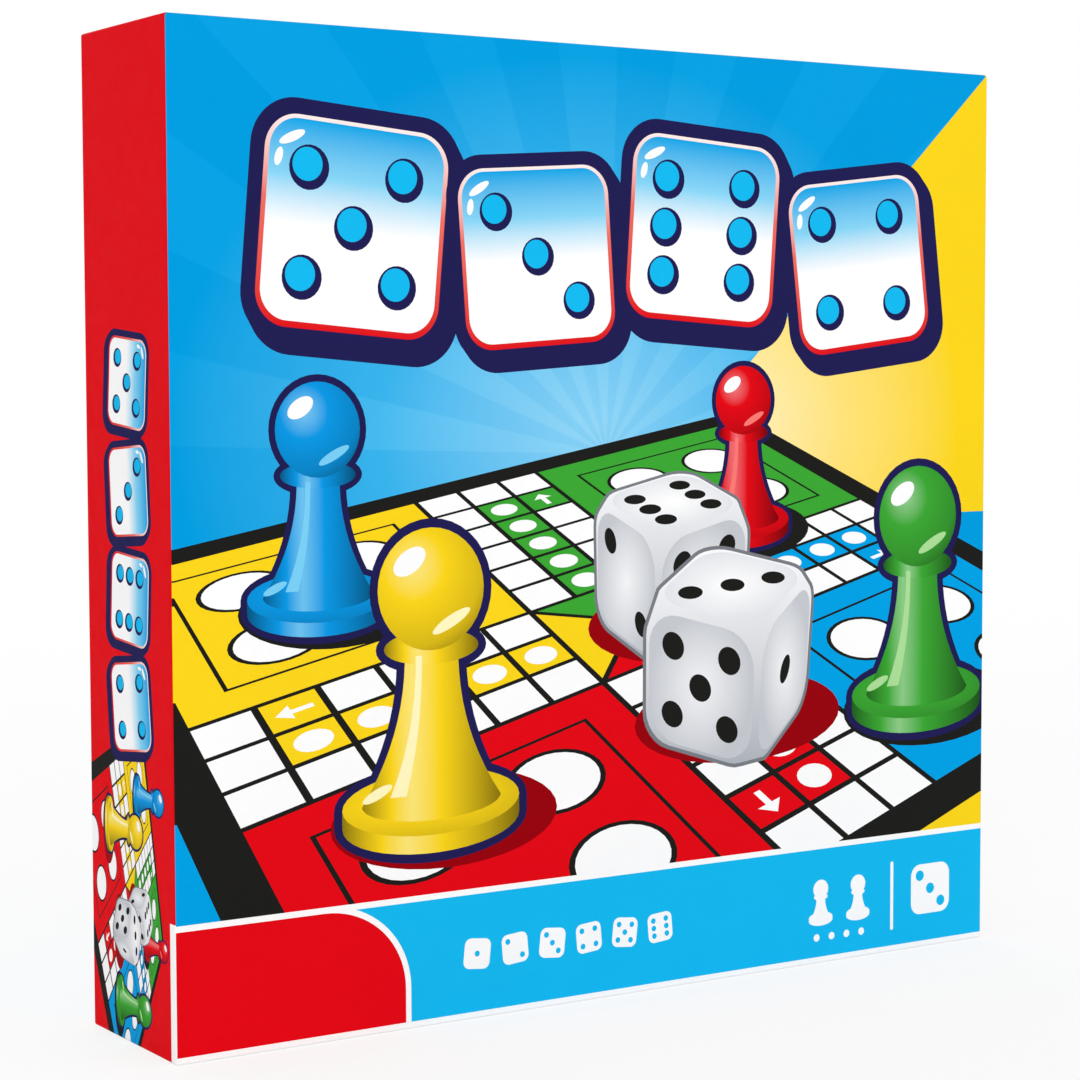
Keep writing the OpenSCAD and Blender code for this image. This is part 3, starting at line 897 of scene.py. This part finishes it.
# ---------------------------------------------------------------- board print
# One sheet of artwork round the crossing of the folds, of which each quarter takes its own part
CELL = 31.4
HALF, _, _ = size_of("board_print_1")
FOLD_X, _, FOLD_Z = (round(v, 2) for v in box_mm("board_print_1")[1])
sheet = Art()
board(sheet.at(-CELLS / 2 * CELL, -CELLS / 2 * CELL, k=CELL), line=0.035, edge=0.4)


def quarter_place(sx, sz, y, step):
    """Puts a point of a quarter into the folded stack; sx and sz are -1 where it is turned over."""
    return lambda s, t, d: (FOLD_X + sx * s, y + step * d, FOLD_Z + sz * t)


for i, (sx, sz) in enumerate(((1, 1), (-1, 1), (-1, -1), (1, -1)), 1):
    lo, hi = box_mm(f"board_print_{i}")
    y, step = (lo.y, 1) if sx * sz > 0 else (hi.y, -1)
    dom = (-HALF if sx > 0 else 0, 0 if sx > 0 else HALF, -HALF if sz > 0 else 0, 0 if sz > 0 else HALF)
    o = printed_slab(f"board_artwork_{i}", dom, sheet, quarter_place(sx, sz, y, step), hi.y - lo.y)
    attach(o, f"board_quarter_{i}")
    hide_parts(f"board_print_{i}")


# ---------------------------------------------------------------- leaflet cover
def leaflet_art():
    """Cover of the leaflet: a row of tiles over a plan of the board and four pawns."""
    art = Art()
    art.box(0, 0, 300, 300, "white")
    art.box(0, 83, 300, 56, "cyan")
    art.box(0, 54.4, 300, 1.2, "red")
    for x, y, turn, n in ((-42, 84, -5, 5), (-14, 82, 4, 3), (14, 84, -4, 6), (42, 82, 7, 4)):
        tile(art.at(x, y, turn), n, 0.47)
    board(art.at(-49.5, -53, k=6.6), line=0.06)
    for x, hue in zip((-42, -14, 14, 42), CORNERS):
        pawn(art.at(x, -88, k=22), hue)
    art.box(0, -102, 300, 12, "red")
    return art


lo, hi = box_mm("rules_leaflet")
spine, print_t = 0.8, 0.03
mid_x, mid_z = (lo.x + spine + hi.x) / 2, (lo.z + hi.z) / 2
wide, high = hi.x - lo.x - spine, hi.z - lo.z
cover = printed_slab("leaflet_cover_print", (-wide / 2, wide / 2, -high / 2, high / 2), leaflet_art(),
                     lambda s, t, d: (mid_x + s, lo.y - print_t + d, mid_z + t), print_t)
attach(cover, "leaflet")

# ---------------------------------------------------------------- carried-over nodes
grey = cardboard("greyboard", (168, 160, 147))
stay = kraft("kraft_stay", (196, 158, 110))
black_back = embossed("embossed_backing", (40, 40, 43))
leaf = cardboard("leaflet_paper", (243, 240, 230), 0.06)
formed = formed_sheet("formed_tray", (240, 241, 241))
moulded = {"red": plastic("red_plastic", (214, 16, 24)), "yellow": plastic("yellow_plastic", (250, 205, 20)),
           "green": plastic("green_plastic", (40, 140, 50)), "blue": plastic("blue_plastic", (12, 120, 215))}

# metres from a die's centre to just under its faces, and to just inside its corner cut
DIE_FACE, DIE_BALL = 0.00794, 0.01112


def die_plastic(name, centre):
    """White plastic, with black paint in the dimples, which lie under the faces and inside the corner cut."""
    s = Shader(name)
    shift = s.new("VectorMath", operation="SUBTRACT")
    s.link(s.here, shift.inputs[0])
    shift.inputs[1].default_value = centre
    size = s.new("VectorMath", operation="LENGTH")
    s.link(shift.outputs[0], size.inputs[0])
    part = s.new("SeparateXYZ")
    whole = s.new("VectorMath", operation="ABSOLUTE")
    s.link(shift.outputs[0], whole.inputs[0])
    s.link(whole.outputs[0], part.inputs[0])
    reach = s.math("MAXIMUM", part.outputs[0], s.math("MAXIMUM", part.outputs[1], part.outputs[2]))
    under_face = s.math("LESS_THAN", reach, DIE_FACE)
    inside = s.math("MULTIPLY", under_face, s.math("LESS_THAN", size.outputs["Value"], DIE_BALL))
    s.paint(s.mix(inside, lin((244, 244, 242)), lin((16, 16, 18))), 0.02, 90)
    s.rough(0.16, 0.26, 300)
    s.bump(s.noise(160, 2), 0.05, 0.0004)
    return s.mat


def dress(node, mat):
    slots = nodes[node].data.materials
    slots.clear()
    slots.append(mat)


for n in ("lid_greyboard", "base_greyboard", *(f"board_panel_{i}" for i in range(1, 5))):
    dress(n, grey)
for n in ("lid_corner_stays", "base_corner_stays"):
    dress(n, stay)
for i in range(1, 5):
    dress(f"board_backing_{i}", black_back)
    for hue in CORNERS:
        dress(f"{hue}_counter_{i}", moulded[hue])
dress("insert_tray", formed)
dress("rules_leaflet", leaf)
for n in ("die_1", "die_2"):
    lo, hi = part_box(n)
    dress(n, die_plastic(n + "_plastic", (lo + hi) / 2))

# ---------------------------------------------------------------- stage
FLOOR = 30  # half side, in metres
AIM = Vector((0, 0, 0.13))  # middle of the box
scene = bpy.context.scene
scene.view_settings.view_transform = "Standard"


def seen(tree):
    """1 where the background is looked at, straight, in gloss or through glass."""
    rays = tree.nodes.new("ShaderNodeLightPath")
    total = rays.outputs["Is Camera Ray"]
    for other in ("Is Glossy Ray", "Is Transmission Ray"):
        node = tree.nodes.new("ShaderNodeMath")
        node.operation = "MAXIMUM"
        tree.links.new(total, node.inputs[0])
        tree.links.new(rays.outputs[other], node.inputs[1])
        total = node.outputs[0]
    return total


world = bpy.data.worlds.new("studio")
scene.world = world
world.use_nodes = True
wt = world.node_tree
backdrop = wt.nodes["Background"]
backdrop.inputs["Color"].default_value = (1, 1, 1, 1)
# the world lights the object at the lower strength and is seen at the higher
level = wt.nodes.new("ShaderNodeMapRange")
level.inputs[3].default_value = 0.72
level.inputs[4].default_value = 1.0
wt.links.new(seen(wt), level.inputs[0])
wt.links.new(level.outputs[0], backdrop.inputs["Strength"])

floor_mesh = bpy.data.meshes.new("floor")
corners = [(-FLOOR, -FLOOR, 0), (FLOOR, -FLOOR, 0), (FLOOR, FLOOR, 0), (-FLOOR, FLOOR, 0)]
floor_mesh.from_pydata(corners, [], [(0, 1, 2, 3)])
floor = bpy.data.objects.new("floor", floor_mesh)
scene.collection.objects.link(floor)
fm = bpy.data.materials.new("floor")
fm.use_nodes = True
ft = fm.node_tree
pale = ft.nodes["Principled BSDF"]
pale.inputs["Base Color"].default_value = (0.94, 0.94, 0.94, 1)
pale.inputs["Roughness"].default_value = 1
pale.inputs["Specular IOR Level"].default_value = 0
glow = ft.nodes.new("ShaderNodeEmission")
blend = ft.nodes.new("ShaderNodeMixShader")
# the floor keeps the shadow near the object and runs out to plain white
spot = ft.nodes.new("ShaderNodeTexCoord")
away = ft.nodes.new("ShaderNodeVectorMath")
away.operation = "LENGTH"
ft.links.new(spot.outputs["Object"], away.inputs[0])
fade = ft.nodes.new("ShaderNodeMapRange")
fade.interpolation_type = "SMOOTHSTEP"
for i, v in ((1, 0.3), (2, 1.6), (3, 0.78), (4, 1.0)):
    fade.inputs[i].default_value = v
ft.links.new(away.outputs["Value"], fade.inputs[0])
share = ft.nodes.new("ShaderNodeMath")
share.operation = "MULTIPLY"
ft.links.new(fade.outputs[0], share.inputs[1])
ft.links.new(seen(ft), share.inputs[0])
ft.links.new(share.outputs[0], blend.inputs[0])
ft.links.new(pale.outputs[0], blend.inputs[1])
ft.links.new(glow.outputs[0], blend.inputs[2])
ft.links.new(blend.outputs[0], ft.nodes["Material Output"].inputs["Surface"])
floor_mesh.materials.append(fm)


def lamp(name, place, size, power):
    """Round soft light aimed at the box; power is in watts."""
    data = bpy.data.lights.new(name, "AREA")
    data.shape, data.size, data.energy = "DISK", size, power
    o = bpy.data.objects.new(name, data)
    scene.collection.objects.link(o)
    o.location = place
    o.rotation_mode = "QUATERNION"
    o.rotation_quaternion = (AIM - Vector(place)).to_track_quat("-Z", "Y")


lamp("key", (-1.3, -1.7, 1.2), 1.4, 15)
lamp("fill", (1.5, -1.6, 0.9), 1.6, 6)
lamp("rear", (0.6, 1.9, 1.3), 1.6, 11)
